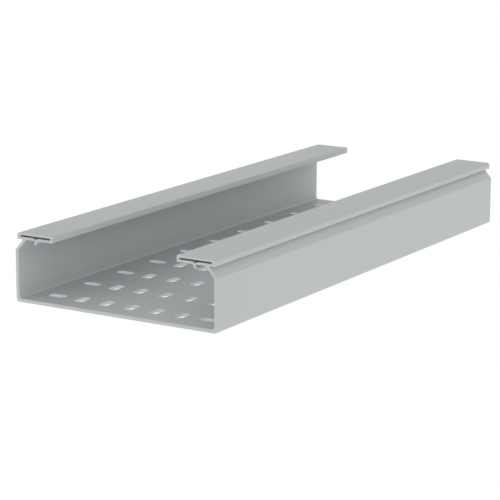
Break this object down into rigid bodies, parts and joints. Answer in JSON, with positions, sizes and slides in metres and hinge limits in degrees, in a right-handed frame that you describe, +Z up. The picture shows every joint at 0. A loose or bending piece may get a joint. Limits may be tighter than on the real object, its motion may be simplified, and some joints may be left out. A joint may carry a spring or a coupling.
{
  "type": "perforated cable tray",
  "caption": "Straight length of plastic cable tray: slotted flat base, upright walls, inward shoulders and hollow flat rims that carry a clip-on cover. Both ends are open.",
  "frame": {"origin": "on the underside of the base, midway between the walls and midway along the length", "axes": "+X across the tray, +Y along it, +Z up, out of the open top"},
  "size_m": [0.2, 0.5, 0.06],
  "materials": {
    "grey_pvc": "light grey rigid PVC, extruded, smooth and matt"
  },
  "bodies": {
    "root": {"tray": "grey_pvc"}
  },
  "joints": []
}
